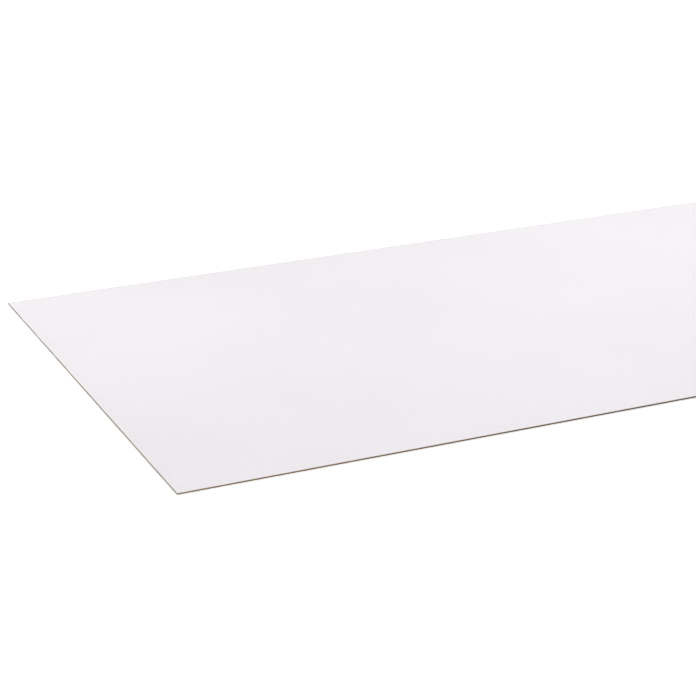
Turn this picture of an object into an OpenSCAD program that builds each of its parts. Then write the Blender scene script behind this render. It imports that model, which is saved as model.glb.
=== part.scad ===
// Thin white-faced fibreboard sheet.
//
// A full sheet of medium-density fibreboard, pressed and sanded to one thickness,
// with a thin white facing bonded to its upper face and the underside left bare.
// Facing and board go through the saw together, so all four sides are flush and
// the brown board shows along every edge, under a hairline of white.
//
// Millimetres. The sheet lies flat, white face up: the origin is the centre of the
// underside, +X runs along the length, +Y across the width and +Z up.

/* [Sheet] */
// Length of the sheet, along X
sheet_len = 2440; // [300:10:3660]
// Width of the sheet, along Y
sheet_w = 1220; // [200:10:2100]
// Finished thickness, board and facing together
sheet_t = 3; // [2:0.5:25]

/* [Facing] */
// Thickness of the white facing
facing_t = 0.15; // [0.05:0.05:0.8]

/* [Sawn edges] */
// How far the saw and a light pass of abrasive break each sharp arris
arris = 0.1; // [0.05:0.05:0.5]

/* [Hidden] */

// Bare fibreboard, and the facing's slightly cool white
board_colour = "#96714C";
facing_colour = "#F2EFF2";

// Height at which the board stops and the facing starts
board_t = sheet_t - facing_t;
// How far a cutting block reaches past the sheet on every side
overrun = 5;

// Section of the sawn sheet across one direction: a rectangle of the finished
// thickness, standing on the origin, with its four corners taken off.
module sheet_section(across) {
    half = across / 2;
    polygon([
        [-half + arris, 0],
        [half - arris, 0],
        [half, arris],
        [half, sheet_t - arris],
        [half - arris, sheet_t],
        [-half + arris, sheet_t],
        [-half, sheet_t - arris],
        [-half, arris]
    ]);
}

// A section drawn in X and Z, drawn out along Y.
module drawn_along_y(reach) {
    rotate([90, 0, 0])
        linear_extrude(height = reach, center = true)
            children();
}

// A section drawn in Y and Z, drawn out along X.
module drawn_along_x(reach) {
    rotate([0, 0, 90])
        drawn_along_y(reach)
            children();
}

// The whole sheet as it leaves the saw. The length section and the width section
// cross, so the arrises are broken on all four sides and mitre at the corners,
// which stay square in plan.
module sawn_sheet() {
    intersection() {
        drawn_along_y(sheet_w + 2 * overrun)
            sheet_section(sheet_len);
        drawn_along_x(sheet_len + 2 * overrun)
            sheet_section(sheet_w);
    }
}

// A level slab, wider than the sheet, between two heights.
module level_slab(bottom, top) {
    reach_x = sheet_len + 2 * overrun;
    reach_y = sheet_w + 2 * overrun;
    translate([-reach_x / 2, -reach_y / 2, bottom])
        cube([reach_x, reach_y, top - bottom]);
}

// The pressed fibreboard, from the underside up to the facing.
module mdf_board() {
    color(board_colour)
        intersection() {
            sawn_sheet();
            level_slab(-overrun, board_t);
        }
}

// The white facing, bonded over the whole upper face and cut flush with it.
module white_facing() {
    color(facing_colour)
        intersection() {
            sawn_sheet();
            level_slab(board_t, sheet_t + overrun);
        }
}

mdf_board();
white_facing();
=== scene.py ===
# %% [markdown]
# # A white-faced fibreboard sheet
#
# This lesson finishes one full sheet of thin MDF, 2440 x 1220 x 3 mm. The real thing is wood
# fibre pressed into a dense brown board, with a thin white facing bonded to one side. It lies
# on a studio floor with the white face up, and the brown board shows only as a fine line along
# its sawn edges.
#
# The shapes already exist: the sheet comes in as a fixed frame of two nodes, `mdf_board` and
# `white_facing`, at their real size in metres. A flat sheet needs no new meshes. What makes it
# read as MDF is its surfaces, so the work here is two layered materials, a camera and the light.

import math

import bpy
from mathutils import Matrix, Vector


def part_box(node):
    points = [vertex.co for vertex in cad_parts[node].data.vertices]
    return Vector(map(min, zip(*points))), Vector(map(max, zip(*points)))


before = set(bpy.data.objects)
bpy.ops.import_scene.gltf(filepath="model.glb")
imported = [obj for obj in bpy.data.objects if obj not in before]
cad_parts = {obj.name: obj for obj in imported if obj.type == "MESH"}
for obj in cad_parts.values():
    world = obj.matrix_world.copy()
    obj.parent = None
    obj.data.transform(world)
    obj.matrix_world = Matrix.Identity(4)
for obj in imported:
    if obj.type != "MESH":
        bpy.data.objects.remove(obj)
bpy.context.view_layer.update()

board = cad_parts["mdf_board"]
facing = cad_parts["white_facing"]
print("nodes:", sorted(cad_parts))

# %% [markdown]
# ## The sheet's own sizes
#
# Every pattern below is placed from the sheet itself: how far its sawn sides are from the
# middle, and the height at which the brown board stops and the facing starts. They are read
# from the frame, so nothing has to be typed in twice.

# %% Measure the sheet
board_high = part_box("mdf_board")[1]
facing_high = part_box("white_facing")[1]

HALF_LENGTH = board_high.x
HALF_WIDTH = board_high.y
BOARD_TOP = board_high.z
SHEET_TOP = facing_high.z
MM = 0.001

print(f"sheet {2 * HALF_LENGTH:.3f} x {2 * HALF_WIDTH:.3f} x {SHEET_TOP:.4f} m")
print(f"facing {(SHEET_TOP - BOARD_TOP) / MM:.2f} mm thick")

# %% [markdown]
# ## The camera
#
# The sheet is seen from a standing person's eye height, with a long lens, from well outside its
# near left corner. The camera's place is given from that corner: so far to the left of it, so
# far in front of it and so far above the floor. Its direction is a heading, turned from the
# sheet's width towards its length, and a downward tilt. A long lens keeps the two long edges
# almost parallel, and the far end of the sheet runs out of the picture.

# %% Set up the camera
LEFT_OF_CORNER = 1.3025
FRONT_OF_CORNER = 3.7007
EYE_HEIGHT = 1.8483
HEADING = math.radians(24.41)
DOWN_TILT = math.radians(21.397)
LENS_MM = 110.96
SENSOR_MM = 36.0

camera_data = bpy.data.cameras.new("camera")
camera_data.lens = LENS_MM
camera_data.sensor_width = SENSOR_MM
camera = bpy.data.objects.new("camera", camera_data)
camera.location = (
    -HALF_LENGTH - LEFT_OF_CORNER,
    -HALF_WIDTH - FRONT_OF_CORNER,
    EYE_HEIGHT,
)
camera.rotation_euler = (math.pi / 2 - DOWN_TILT, 0, -HEADING)
bpy.context.scene.collection.objects.link(camera)
bpy.context.scene.camera = camera
print("camera at", tuple(round(v, 3) for v in camera.location))

# %% [markdown]
# ## Small helpers for node trees
#
# Materials are written as nodes and links. Three short helpers keep that readable. `add` makes a
# node and sets its sockets by name, and `connect` takes either a socket or a plain value.
# `maths` makes one Math node and hands back its output, so that a formula reads in the order it
# is worked out. The other helpers come further down, each where it is first needed.

# %% Helpers: nodes and sums
def add(tree, kind, values=None, **settings):
    """A new node in the tree, with its settings and the values of its input sockets."""
    node = tree.nodes.new(kind)
    for name, value in settings.items():
        setattr(node, name, value)
    for socket, value in (values or {}).items():
        connect(tree, value, node.inputs[socket])
    return node


def connect(tree, source, socket):
    """Links a socket to its source, or sets it where the source is a plain value."""
    if isinstance(source, bpy.types.NodeSocket):
        tree.links.new(source, socket)
    else:
        socket.default_value = source


def maths(tree, operation, first, second=0.0, clamp=False):
    """One Math node: its output socket."""
    node = add(tree, "ShaderNodeMath", {0: first, 1: second}, operation=operation)
    node.use_clamp = clamp
    return node.outputs[0]


print("helpers: add, connect, maths")

# %% [markdown]
# ## Node groups
#
# A node group is a recipe that is written once and placed in every material that wants it, each
# time with its own values. The facing and the board share three of them. `new_group` makes an
# empty group with its sockets, and `use_group` places one in a tree.

# %% Helpers: node groups
FLOAT = "NodeSocketFloat"
VECTOR = "NodeSocketVector"


def new_group(name, inputs, outputs):
    """An empty shader node group with named float or vector sockets: tree, inlet, outlet."""
    group = bpy.data.node_groups.new(name, "ShaderNodeTree")
    for socket, kind, value in inputs:
        made = group.interface.new_socket(socket, in_out="INPUT", socket_type=kind)
        if value is not None:
            made.default_value = value
    for socket in outputs:
        group.interface.new_socket(socket, in_out="OUTPUT", socket_type=FLOAT)
    inlet = add(group, "NodeGroupInput")
    outlet = add(group, "NodeGroupOutput")
    return group, inlet, outlet


def use_group(tree, group, values):
    """Places a node group in a tree with its own values: the node."""
    node = add(tree, "ShaderNodeGroup", node_tree=group)
    for socket, value in values.items():
        connect(tree, value, node.inputs[socket])
    return node


print("helpers: new_group, use_group")

# %% [markdown]
# ## Finding the sawn sides
#
# Both the facing and the board change close to where the saw passed: the facing chips, and the
# board's underside gets grubby from handling. That border could be painted on the mesh, but the
# sheet is a plain rectangle, so a short sum is exact. The group works out how far any point is
# from the nearest of the four sawn sides, in millimetres, from its Object coordinates. Both
# materials use it, so it is built once.

# %% Group: distance from the saw cut
def build_saw_distance():
    """Makes the group that measures how far a point is from the saw cut."""
    inputs = [("Vector", VECTOR, None)]
    group, inlet, outlet = new_group("distance from the saw cut", inputs, ["Millimetres"])
    place = add(group, "ShaderNodeSeparateXYZ", {"Vector": inlet.outputs["Vector"]})
    from_ends = maths(group, "ABSOLUTE", place.outputs["X"])
    from_ends = maths(group, "SUBTRACT", HALF_LENGTH, from_ends)
    from_sides = maths(group, "ABSOLUTE", place.outputs["Y"])
    from_sides = maths(group, "SUBTRACT", HALF_WIDTH, from_sides)
    nearest = maths(group, "MINIMUM", from_ends, from_sides)
    millimetres = maths(group, "DIVIDE", nearest, MM)
    group.links.new(millimetres, outlet.inputs["Millimetres"])
    return group


saw_distance = build_saw_distance()
print("group:", saw_distance.name)

# %% [markdown]
# ## Pressed fibres
#
# MDF is a felt of wood fibres that all lie in the plane of the sheet, in every direction, and
# are pressed flat through its thickness. An image of them would have to be unwrapped onto every
# side, and it would break at each edge. Noise fills space instead. Stretched along one direction
# and squashed in Z, it draws one lay of fibres: long flecks on the underside, and short dashes
# where the saw cuts through the same strands on the edges.

# %% One lay of fibres
STRAND_LENGTH = 2.4 * MM
STRAND_WIDTH = 0.32 * MM
STRAND_DEPTH = 0.11 * MM


def noise(tree, vector, scale, detail=2.0, roughness=0.5):
    """A noise pattern with `scale` features to the metre: its factor socket."""
    values = {"Vector": vector, "Scale": scale, "Detail": detail, "Roughness": roughness}
    return add(tree, "ShaderNodeTexNoise", values).outputs["Fac"]


def lay_of_fibres(tree, vector, turn):
    """Strands that lie in one direction, turned in the plane of the sheet: the socket."""
    mapping = add(tree, "ShaderNodeMapping", {"Vector": vector}, vector_type="TEXTURE")
    mapping.inputs["Rotation"].default_value = (0, 0, math.radians(turn))
    mapping.inputs["Scale"].default_value = (STRAND_LENGTH, STRAND_WIDTH, STRAND_DEPTH)
    return noise(tree, mapping.outputs[0], 1.0, detail=1.0)


print(f"strands {STRAND_LENGTH / MM:.1f} mm long and {STRAND_WIDTH / MM:.2f} mm wide")

# %% [markdown]
# ## Three lays make a felt
#
# Three lays at different turns make the felt. The strands that stand out from it, at either end
# of the noise's range, become pale and dark flecks. A higher density moves both limits towards
# the middle, so that more of the strands count as flecks.

# %% Group: pressed fibres
FIBRE_TURNS = (12.0, 71.0, 133.0)
PALE_ABOVE = 0.78
DARK_BELOW = 0.22
DENSITY_SHIFT = 0.24
FLECK_CONTRAST = 9.0


def with_flecks(tree, so_far, beyond_limit):
    """The flecks so far and those of one more lay of fibres: the socket."""
    flecks = maths(tree, "MULTIPLY", beyond_limit, FLECK_CONTRAST, clamp=True)
    return maths(tree, "MAXIMUM", so_far, flecks)


def build_fibres():
    """Makes the group of pale flecks, dark flecks and the felt they stand out from."""
    inputs = [("Vector", VECTOR, None), ("Density", FLOAT, 0.5)]
    group, inlet, outlet = new_group("pressed fibres", inputs, ["Pale", "Dark", "Felt"])
    shift = maths(group, "MULTIPLY", inlet.outputs["Density"], DENSITY_SHIFT)
    pale_from = maths(group, "SUBTRACT", PALE_ABOVE, shift)
    dark_to = maths(group, "ADD", DARK_BELOW, shift)
    pale, dark, felt = 0.0, 0.0, 0.0
    for turn in FIBRE_TURNS:
        strand = lay_of_fibres(group, inlet.outputs["Vector"], turn)
        pale = with_flecks(group, pale, maths(group, "SUBTRACT", strand, pale_from))
        dark = with_flecks(group, dark, maths(group, "SUBTRACT", dark_to, strand))
        felt = maths(group, "ADD", felt, maths(group, "DIVIDE", strand, len(FIBRE_TURNS)))
    group.links.new(pale, outlet.inputs["Pale"])
    group.links.new(dark, outlet.inputs["Dark"])
    group.links.new(felt, outlet.inputs["Felt"])
    return group


fibres = build_fibres()
print("group:", fibres.name, "with", len(FIBRE_TURNS), "directions")

# %% [markdown]
# ## Slow clouds
#
# Nothing pressed from fibre is quite even. Over a hand's breadth to half a metre, the board's
# colour and the facing's gloss drift a little. Without that, a large plain surface looks like
# plastic. The group gives the drift as a value around zero, so that each material can scale it
# to what it needs.

# %% Group: slow clouds
def build_clouds():
    """Makes the group of a slow drift around zero."""
    inputs = [("Vector", VECTOR, None), ("Size", FLOAT, 0.3)]
    group, inlet, outlet = new_group("slow clouds", inputs, ["Drift"])
    to_the_metre = maths(group, "DIVIDE", 1.0, inlet.outputs["Size"])
    broad = noise(group, inlet.outputs["Vector"], to_the_metre, detail=3.0, roughness=0.55)
    drift = maths(group, "SUBTRACT", broad, 0.5)
    drift = maths(group, "MULTIPLY", drift, 2.0)
    group.links.new(drift, outlet.inputs["Drift"])
    return group


clouds = build_clouds()
print("group:", clouds.name)

# %% [markdown]
# ## Ramps and blends
#
# The groups give plain numbers, and two more helpers turn numbers into colour. `remap` spreads a
# range of values smoothly over another range, and `blend` mixes two colours. A Mix node has a
# set of sockets for each kind of value: the factor is socket 0, and its two colours are sockets
# 6 and 7.

# %% Helpers: ramps and blends
def remap(tree, value, low, high, to_low=0.0, to_high=1.0):
    """A smooth ramp of a value from one range to another: its output socket."""
    values = {"Value": value, "From Min": low, "From Max": high}
    values.update({"To Min": to_low, "To Max": to_high})
    node = add(tree, "ShaderNodeMapRange", values, interpolation_type="SMOOTHSTEP")
    return node.outputs["Result"]


def blend(tree, factor, first, second, mode="MIX"):
    """Two colours mixed by a factor: the mixed colour's socket."""
    node = add(tree, "ShaderNodeMix", data_type="RGBA", blend_type=mode)
    connect(tree, factor, node.inputs[0])
    connect(tree, first, node.inputs[6])
    connect(tree, second, node.inputs[7])
    return node.outputs[2]


print("helpers: remap, blend")

# %% [markdown]
# ## The white facing: its colour
#
# The facing is a smooth satin white, slightly cool. One flat colour would do from far away, but
# close to, the eye takes it for an empty patch. So the white has the faintest mottle of a second
# shade, no more, because a real white board is almost even. Sheets are carried by their edges,
# and a narrow rim beside the saw cut is soiled in smudges.

# %% Facing: white, mottle and soiled rim
FACING_WHITE = (0.844, 0.807, 0.843, 1.0)
FACING_SHADE = (0.830, 0.794, 0.829, 1.0)
MOTTLE_TO_THE_METRE = 190.0
MOTTLE_RANGE = (0.1, 0.9)
RIM_SOIL = (0.86, 0.855, 0.845, 1.0)
RIM_WIDTH_MM = 4.0
SMUDGES_TO_THE_METRE = 24.0
SMUDGE_RANGE = (0.25, 0.6)


def facing_white(tree, place, from_saw, drift):
    """The unbroken facing's colour: its socket."""
    mottle = noise(tree, place, MOTTLE_TO_THE_METRE, detail=3.0)
    shade = remap(tree, maths(tree, "ADD", drift, mottle), *MOTTLE_RANGE)
    white = blend(tree, shade, FACING_WHITE, FACING_SHADE)
    rim = remap(tree, from_saw, 0.0, RIM_WIDTH_MM, 1.0, 0.0)
    smudge = noise(tree, place, SMUDGES_TO_THE_METRE, detail=3.0)
    rim = maths(tree, "MULTIPLY", rim, remap(tree, smudge, *SMUDGE_RANGE))
    return blend(tree, rim, white, blend(tree, 1.0, white, RIM_SOIL, "MULTIPLY"))


print(f"soiled rim {RIM_WIDTH_MM} mm wide")

# %% [markdown]
# ## The white facing: chips
#
# The facing is brittle. At the saw cut it breaks out in tiny chips that let the brown board
# through. Cut into the mesh, they would take tens of thousands of faces. They reach in by only a
# quarter of a millimetre, so a mask in the material is enough. Noise makes their reach in from
# the cut ragged, and where a point lies nearer to the cut than that reach, the facing is gone.

# %% Facing: chips
CHIP_BROWN = (0.32, 0.20, 0.06, 1.0)
CHIP_SPREAD_MM = 0.55
CHIP_BLUR_MM = 0.05
CHIPS_TO_THE_METRE = 900.0


def facing_chips(tree, place, from_saw):
    """Where the facing is chipped off, from 0 to 1: the socket."""
    ragged = noise(tree, place, CHIPS_TO_THE_METRE, detail=3.0)
    ragged = maths(tree, "MULTIPLY", ragged, CHIP_SPREAD_MM)
    reach = maths(tree, "SUBTRACT", ragged, 0.5 * CHIP_SPREAD_MM)
    return remap(tree, maths(tree, "SUBTRACT", reach, from_saw), 0.0, CHIP_BLUR_MM)


print(f"chips reach in by up to {0.5 * CHIP_SPREAD_MM:.2f} mm")

# %% [markdown]
# ## The white facing: gloss and relief
#
# The satin gloss drifts where the face was handled, and a chip is rough. Close to, the face
# isn't perfectly flat: it has the very fine orange peel of a rolled finish, and the fibres under
# it telegraph through as faint flecks. Two hundredths of a millimetre is far too little height
# to be modelled, so a Bump node only tilts the light on it. `relief` is that node.

# %% Facing: gloss and orange peel
FACING_ROUGHNESS = 0.36
ROUGHNESS_DRIFT = 0.06
CHIP_ROUGHER = 0.45
PEEL_TO_THE_METRE = 620.0
PEEL_DEPTH = 0.02 * MM
PEEL_STRENGTH = 0.25
FIBRES_THROUGH = 0.5
CHIP_PITS = 4.0


def facing_roughness(tree, drift, chipped):
    """The facing's roughness: its socket."""
    rough = maths(tree, "MULTIPLY", drift, ROUGHNESS_DRIFT)
    rough = maths(tree, "ADD", rough, FACING_ROUGHNESS)
    return maths(tree, "ADD", rough, maths(tree, "MULTIPLY", chipped, CHIP_ROUGHER), clamp=True)


def relief(tree, height, strength, depth):
    """A Bump node, which tilts the light by a height: its normal socket."""
    values = {"Height": height, "Strength": strength, "Distance": depth}
    return add(tree, "ShaderNodeBump", values).outputs["Normal"]


def facing_relief(tree, place, felt, chipped):
    """Orange peel, fibres that show through, and the pits of the chips: the normal socket."""
    peel = noise(tree, place, PEEL_TO_THE_METRE, detail=2.0)
    height = maths(tree, "ADD", maths(tree, "MULTIPLY", felt, FIBRES_THROUGH), peel)
    height = maths(tree, "SUBTRACT", height, maths(tree, "MULTIPLY", chipped, CHIP_PITS))
    return relief(tree, height, PEEL_STRENGTH, PEEL_DEPTH)


print(f"orange peel {1 / PEEL_TO_THE_METRE / MM:.1f} mm across")

# %% [markdown]
# ## The white facing: the material
#
# The parts come together in one material. `new_material` starts it with the Principled BSDF, the
# shader that suits nearly every plain surface. The facing came in with a material slot of its
# own, and that slot takes the new material.

# %% Material: white facing
FACING_CLOUD_SIZE = 0.35
FACING_FIBRE_DENSITY = 0.35


def new_material(name):
    """An empty material with a Principled BSDF joined to its output: tree and shader."""
    material = bpy.data.materials.new(name)
    material.use_nodes = True
    tree = material.node_tree
    tree.nodes.clear()
    shader = add(tree, "ShaderNodeBsdfPrincipled")
    output = add(tree, "ShaderNodeOutputMaterial")
    tree.links.new(shader.outputs["BSDF"], output.inputs["Surface"])
    return material, tree, shader


def build_facing():
    """Makes the satin white, with its soiled rim, its chips and its relief."""
    material, tree, shader = new_material("satin white facing")
    place = add(tree, "ShaderNodeTexCoord").outputs["Object"]
    from_saw = use_group(tree, saw_distance, {"Vector": place}).outputs["Millimetres"]
    cloud = use_group(tree, clouds, {"Vector": place, "Size": FACING_CLOUD_SIZE})
    drift = cloud.outputs["Drift"]
    fibre = use_group(tree, fibres, {"Vector": place, "Density": FACING_FIBRE_DENSITY})
    chipped = facing_chips(tree, place, from_saw)
    white = facing_white(tree, place, from_saw, drift)
    connect(tree, blend(tree, chipped, white, CHIP_BROWN), shader.inputs["Base Color"])
    connect(tree, facing_roughness(tree, drift, chipped), shader.inputs["Roughness"])
    normal = facing_relief(tree, place, fibre.outputs["Felt"], chipped)
    connect(tree, normal, shader.inputs["Normal"])
    return material


facing_material = build_facing()
facing.material_slots[0].material = facing_material
print("material:", facing_material.name)

# %% [markdown]
# ## The bare board: its ground colour
#
# One node carries two kinds of bare surface. The underside is sanded to an even tan. The sawn
# edges cut across the sheet, so they show the board's layers: a darker, denser skin next to
# each face and a paler, softer middle. Each kind could have a material of its own, but then the
# fibres would have to be set up twice. One material that asks which way a point faces keeps
# them in step.

# %% Board: layers on the edge, tan underneath
BOARD_BODY = (0.39, 0.243, 0.06, 1.0)
SKIN_DARK = (0.285, 0.176, 0.042, 1.0)
SKIN_MM = 0.45
SANDED_TAN = (0.43, 0.26, 0.12, 1.0)
LEVEL_RANGE = (0.8, 0.9)


def where_sanded(tree, normal):
    """1 on the level underside and 0 on the sawn edges: the socket."""
    way = add(tree, "ShaderNodeSeparateXYZ", {"Vector": normal})
    return remap(tree, maths(tree, "ABSOLUTE", way.outputs["Z"]), *LEVEL_RANGE)


def board_ground(tree, height, sanded):
    """The board's colour before its flecks: the socket."""
    height_mm = maths(tree, "DIVIDE", height, MM)
    from_top = maths(tree, "SUBTRACT", BOARD_TOP / MM, height_mm)
    skin = maths(tree, "MINIMUM", height_mm, from_top)
    skin = remap(tree, skin, 0.0, SKIN_MM, 1.0, 0.0)
    layers = blend(tree, skin, BOARD_BODY, SKIN_DARK)
    return blend(tree, sanded, layers, SANDED_TAN)


print(f"skins {SKIN_MM} mm deep on a board of {BOARD_TOP / MM:.2f} mm")

# %% [markdown]
# ## The bare board: clouds, flecks and dirt
#
# Over the ground colour lie the slow clouds, then the pale and the dark strands, and last the
# dirt that hands leave on the underside beside the saw cut. Each is laid over what is there
# already, as on the real board. `shaded` multiplies a colour by a plain number.

# %% Board: clouds, flecks and dirt
BOARD_PALE = (0.54, 0.395, 0.162, 1.0)
BOARD_DARK = (0.155, 0.095, 0.03, 1.0)
PALE_SHARE = 0.55
DARK_SHARE = 0.6
CLOUD_RANGE = 0.7
CLOUD_SHADES = (0.86, 1.12)
GRUBBY_MM = 9.0
GRUBBY_SHADE = 0.82


def shaded(tree, colour, amount):
    """A colour times a number: the darker or lighter colour's socket."""
    values = {"Red": amount, "Green": amount, "Blue": amount}
    grey = add(tree, "ShaderNodeCombineColor", values).outputs["Color"]
    return blend(tree, 1.0, colour, grey, "MULTIPLY")


def board_colour(tree, ground, drift, fibre, from_saw, sanded):
    """The ground colour with clouds, flecks and dirt laid over it: the socket."""
    cloud = remap(tree, drift, -CLOUD_RANGE, CLOUD_RANGE, *CLOUD_SHADES)
    colour = shaded(tree, ground, cloud)
    pale = maths(tree, "MULTIPLY", fibre.outputs["Pale"], PALE_SHARE)
    colour = blend(tree, pale, colour, BOARD_PALE)
    dark = maths(tree, "MULTIPLY", fibre.outputs["Dark"], DARK_SHARE)
    colour = blend(tree, dark, colour, BOARD_DARK)
    grubby = remap(tree, from_saw, 0.0, GRUBBY_MM, GRUBBY_SHADE, 1.0)
    return blend(tree, sanded, colour, shaded(tree, colour, grubby))


print(f"dirt fades out {GRUBBY_MM} mm from the saw cut")

# %% [markdown]
# ## The bare board: ripples and sanding lines
#
# The saw leaves fine ripples that stand across the edge, one after another along the cut. The
# sander leaves long, fine lines on the underside. Both are shallow, so they are relief, laid
# over the felt of the fibres. A Mix node chooses between them by its two plain numbers, which
# are sockets 2 and 3.

# %% Board: saw ripples and sanding lines
RIPPLES_TO_THE_METRE = 420.0
SANDING_TO_THE_METRE = (35.0, 2600.0, 1.0)
GROOVE_SHARE = 0.6
BOARD_RELIEF = 0.08 * MM
BOARD_RELIEF_STRENGTH = 0.6


def board_relief(tree, place, xyz, felt, sanded):
    """Ripples on the edges, sanding lines underneath, fibres on both: the normal socket."""
    along = maths(tree, "ADD", xyz.outputs["X"], xyz.outputs["Y"])
    along = add(tree, "ShaderNodeCombineXYZ", {"X": along})
    ripples = noise(tree, along.outputs[0], RIPPLES_TO_THE_METRE, detail=2.0)
    mapping = add(tree, "ShaderNodeMapping", {"Vector": place, "Scale": SANDING_TO_THE_METRE})
    sanding = noise(tree, mapping.outputs[0], 1.0, detail=2.0)
    grooves = add(tree, "ShaderNodeMix", {0: sanded, 2: ripples, 3: sanding}).outputs[0]
    height = maths(tree, "ADD", felt, maths(tree, "MULTIPLY", grooves, GROOVE_SHARE))
    return relief(tree, height, BOARD_RELIEF_STRENGTH, BOARD_RELIEF)


print(f"saw ripples {1 / RIPPLES_TO_THE_METRE / MM:.1f} mm apart")

# %% [markdown]
# ## The bare board: the material
#
# Bare fibreboard is nearly matt, and a little smoother on its higher strands. It throws back
# hardly any gloss, so its specular level stays low.

# %% Material: bare fibreboard
BOARD_SHEEN = 0.08
FELT_RANGE = (0.3, 0.7)
BOARD_ROUGHNESS = (0.95, 0.74)
BOARD_CLOUD_SIZE = 0.22
BOARD_FIBRE_DENSITY = 0.62


def build_bare_board():
    """Makes the bare board of the sawn edges and the sanded underside."""
    material, tree, shader = new_material("bare fibreboard")
    coordinates = add(tree, "ShaderNodeTexCoord")
    place = coordinates.outputs["Object"]
    xyz = add(tree, "ShaderNodeSeparateXYZ", {"Vector": place})
    from_saw = use_group(tree, saw_distance, {"Vector": place}).outputs["Millimetres"]
    cloud = use_group(tree, clouds, {"Vector": place, "Size": BOARD_CLOUD_SIZE})
    fibre = use_group(tree, fibres, {"Vector": place, "Density": BOARD_FIBRE_DENSITY})
    felt = fibre.outputs["Felt"]
    sanded = where_sanded(tree, coordinates.outputs["Normal"])
    ground = board_ground(tree, xyz.outputs["Z"], sanded)
    colour = board_colour(tree, ground, cloud.outputs["Drift"], fibre, from_saw, sanded)
    connect(tree, colour, shader.inputs["Base Color"])
    connect(tree, remap(tree, felt, *FELT_RANGE, *BOARD_ROUGHNESS), shader.inputs["Roughness"])
    connect(tree, board_relief(tree, place, xyz, felt, sanded), shader.inputs["Normal"])
    shader.inputs["Specular IOR Level"].default_value = BOARD_SHEEN
    return material


board_material = build_bare_board()
board.material_slots[0].material = board_material
print("material:", board_material.name)

# %% [markdown]
# ## Rays that see and rays that light
#
# White paint in plain light still falls a little short of white on the screen. Light Path can
# tell a ray that sees, from the camera or in a reflection, from light on its way, so the floor
# and the world can be white to look at without throwing more light on the sheet.

# %% Helper: seen directly
def seen_directly(tree):
    """1 for camera, glossy and transmission rays, 0 for light on its way: the socket."""
    path = add(tree, "ShaderNodeLightPath")
    seen = maths(tree, "MAXIMUM", path.outputs["Is Camera Ray"], path.outputs["Is Glossy Ray"])
    return maths(tree, "MAXIMUM", seen, path.outputs["Is Transmission Ray"])


print("helper: seen_directly")

# %% [markdown]
# ## The floor's paint
#
# The floor is matt white paint, so it catches the thin shadow along the sheet. A lift that only
# seeing rays meet makes up what the paint lacks. It is low beside the sheet, where the lamps are
# strong and the shadow has to show, and rises over the next metre and a half to the level that
# the far floor needs. Light on its way meets a much darker floor, so no glow comes back up from
# below and the sawn edges stay brown.

# %% Floor: its paint
FLOOR_PAINT = 1.0
FLOOR_BOUNCE = 0.15
LIFT_BESIDE = 0.22
LIFT_FAR = 0.77
LIFT_RISE = 1.4


def from_the_sheet(tree):
    """How far a point of the floor is from the sheet's outline, in metres: the socket."""
    place = add(tree, "ShaderNodeTexCoord").outputs["Object"]
    place = add(tree, "ShaderNodeSeparateXYZ", {"Vector": place})
    squares = 0.0
    for axis, half in (("X", HALF_LENGTH), ("Y", HALF_WIDTH)):
        beyond = maths(tree, "SUBTRACT", maths(tree, "ABSOLUTE", place.outputs[axis]), half)
        beyond = maths(tree, "MAXIMUM", beyond, 0.0)
        squares = maths(tree, "ADD", squares, maths(tree, "MULTIPLY", beyond, beyond))
    return maths(tree, "SQRT", squares)


def build_floor_paint():
    """Makes matt white paint with a lift that only seeing rays meet."""
    material, tree, shader = new_material("studio floor paint")
    seen = seen_directly(tree)
    bounce = (FLOOR_BOUNCE, FLOOR_BOUNCE, FLOOR_BOUNCE, 1)
    paint = (FLOOR_PAINT, FLOOR_PAINT, FLOOR_PAINT, 1)
    connect(tree, blend(tree, seen, bounce, paint), shader.inputs["Base Color"])
    shader.inputs["Roughness"].default_value = 1.0
    shader.inputs["Specular IOR Level"].default_value = 0.0
    shader.inputs["Emission Color"].default_value = (1, 1, 1, 1)
    lift = remap(tree, from_the_sheet(tree), 0.0, LIFT_RISE, LIFT_BESIDE, LIFT_FAR)
    connect(tree, maths(tree, "MULTIPLY", seen, lift), shader.inputs["Emission Strength"])
    return material


floor_paint = build_floor_paint()
print("material:", floor_paint.name)

# %% [markdown]
# ## The floor itself
#
# The sheet lies on a plain floor that runs off into a backdrop of the same white, so one very
# large plane is all that the floor takes. No floor is as straight as a sheet of board. This one
# falls away by half a millimetre in a metre towards the right, so the sheet stands clear of it
# by a hair's breadth at its left end and by a little over a millimetre at its right end. The
# dark line under the long front edge grows heavier that way.

# %% Floor: its plane
GAP_AT_LEFT_END = 0.12 * MM
FLOOR_FALL = 0.5 * MM
FLOOR_REACH = 60.0

bpy.ops.mesh.primitive_plane_add(size=2 * FLOOR_REACH)
floor = bpy.context.object
floor.name = "studio_floor"
gap_at_middle = GAP_AT_LEFT_END + HALF_LENGTH * FLOOR_FALL
floor.data.transform(Matrix.Rotation(math.atan(FLOOR_FALL), 4, "Y"))
floor.data.transform(Matrix.Translation((0, 0, -gap_at_middle)))
floor.data.materials.append(floor_paint)
print(f"floor {gap_at_middle / MM:.2f} mm below the middle of the sheet")

# %% [markdown]
# ## The world around
#
# The world works as the floor does: white to look at and in reflections, and a low, even fill
# as a light. As a lamp at full strength it would come from every side at once and wash out the
# shadow along the sheet.

# %% World
FILL_LIGHT = 0.10


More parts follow.
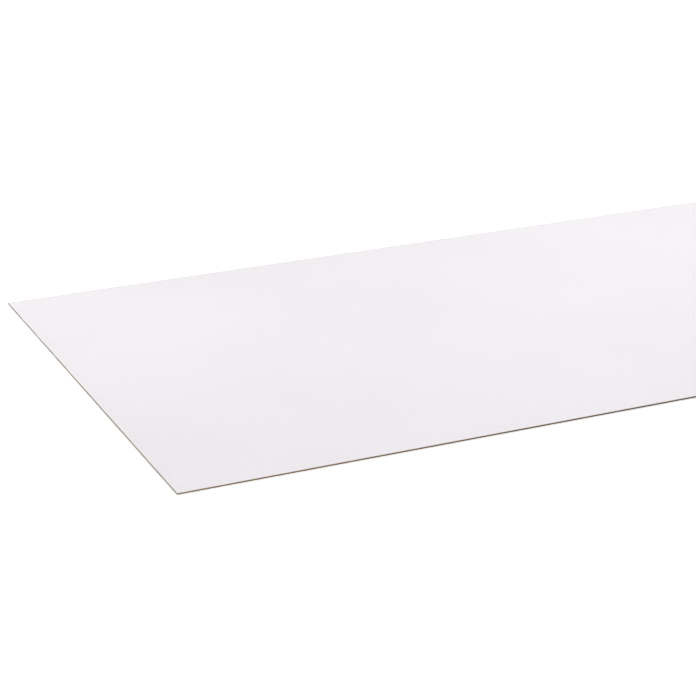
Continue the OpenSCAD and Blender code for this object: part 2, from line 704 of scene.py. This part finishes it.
def build_world():
    """Makes a world that is white to see and a low, even fill as a light."""
    world = bpy.data.worlds.new("studio")
    world.use_nodes = True
    tree = world.node_tree
    tree.nodes.clear()
    white = add(tree, "ShaderNodeBackground", {"Color": (1, 1, 1, 1), "Strength": 1.0})
    fill = add(tree, "ShaderNodeBackground", {"Color": (1, 1, 1, 1), "Strength": FILL_LIGHT})
    mix = add(tree, "ShaderNodeMixShader", {0: seen_directly(tree)})
    output = add(tree, "ShaderNodeOutputWorld")
    tree.links.new(fill.outputs[0], mix.inputs[1])
    tree.links.new(white.outputs[0], mix.inputs[2])
    tree.links.new(mix.outputs[0], output.inputs["Surface"])
    return world


bpy.context.scene.world = build_world()
print("world fill:", FILL_LIGHT)

# %% [markdown]
# ## Studio light: the key
#
# White on white needs light with a direction, or the sheet turns into a flat grey shape. The
# key is broad and very soft, high behind the right end, so that the near sawn edge stays in
# its own shade and reads as a dark line. It is a sun lamp, because a sun lights a long sheet
# evenly from end to end, and a wide angle makes it soft.

# %% Light: key
KEY_LEVEL = 0.235
KEY_SOFTNESS = math.radians(50)
KEY_PLACE = (2.1, 3.7, 4.2)


def hang(name, data, place, aim):
    """Puts a light at a place and points it at another: the light's object."""
    light = bpy.data.objects.new(name, data)
    light.location = place
    light.rotation_euler = (Vector(aim) - Vector(place)).to_track_quat("-Z", "Y").to_euler()
    bpy.context.scene.collection.objects.link(light)
    return light


key_data = bpy.data.lights.new("sky_key", "SUN")
key_data.energy = math.pi * KEY_LEVEL
key_data.angle = KEY_SOFTNESS
key = hang("sky_key", key_data, KEY_PLACE, (0, 0, 0))
print(f"{key.name}: level {KEY_LEVEL}, from {KEY_PLACE}")

# %% [markdown]
# ## Studio light: the soft boxes
#
# Two soft boxes hang over the back and one over the middle. A wide one over the right end keeps
# the far half of a long sheet from going grey, and one that stands in front on the left opens up
# the near left corner.
#
# A satin white has little room to spare: a lamp that is mirrored in it from low down burns a
# white patch into the face. The strongest boxes therefore don't show in reflections. They still
# light the sheet, but whoever walks round it never meets their glare. Light simply adds up, so
# every level was set from the face's tones, one light at a time.

# %% Light: soft boxes
BOX_SIZE = 1.2
BOX_HEIGHT = 1.7


def soft_box(name, place, aim, size, watts, mirrored):
    """A square area light that the camera doesn't see, and reflections only if mirrored."""
    data = bpy.data.lights.new(name, "AREA")
    data.size = size
    data.energy = watts
    light = hang(name, data, place, aim)
    light.visible_camera = False
    light.visible_glossy = mirrored
    print(f"{name}: {watts} W, {size} m square, at {place}")


def hung_box(name, x, y, watts, mirrored=True):
    """A soft box of the usual size that shines straight down."""
    soft_box(name, (x, y, BOX_HEIGHT), (x, y, 0), BOX_SIZE, watts, mirrored)


hung_box("box_back_left", -2.2, 2.2, watts=40.0, mirrored=False)
hung_box("box_back_right", 0.8, 1.0, watts=6.5)
hung_box("box_over_middle", -0.2, -0.2, watts=6.5)
soft_box("box_over_right", (2.6, 0.0, 2.2), (1.6, 0, 0), size=2.2, watts=40.5, mirrored=False)
soft_box("box_in_front", (-2.6, -2.2, 1.2), (-1.0, -0.6, 0), size=1.0, watts=37.0, mirrored=False)

# %% [markdown]
# ## Studio light: the pool on the left
#
# The lightest part of the face lies a little way in from the left end, and the border beside it
# stays a shade darker. A box can't draw that border, because its light spreads too far. A spot
# with a fully soft edge can: it lays down a round pool of light that fades to nothing.

# %% Light: pool
POOL_PLACE = (-1.2, 0.3, 2.4)
POOL_RADIUS = 0.8
POOL_WATTS = 20.0
POOL_LAMP_RADIUS = 0.25

pool_data = bpy.data.lights.new("pool_on_the_left", "SPOT")
pool_data.energy = POOL_WATTS
pool_data.spot_size = 2 * math.atan(POOL_RADIUS / POOL_PLACE[2])
pool_data.spot_blend = 1.0
pool_data.shadow_soft_size = POOL_LAMP_RADIUS
pool = hang("pool_on_the_left", pool_data, POOL_PLACE, (POOL_PLACE[0], POOL_PLACE[1], 0))
pool.visible_camera = False
pool.visible_glossy = False
print(f"{pool.name}: {POOL_WATTS} W, a pool {2 * POOL_RADIUS} m wide, from {POOL_PLACE}")

# %% [markdown]
# ## Colour on the screen
#
# The Standard view shows each colour as it was written. Blender's usual one, AgX, rolls bright
# tones off, and a white sheet would come out a tired grey.

# %% View transform
bpy.context.scene.view_settings.view_transform = "Standard"
print("view transform:", bpy.context.scene.view_settings.view_transform)
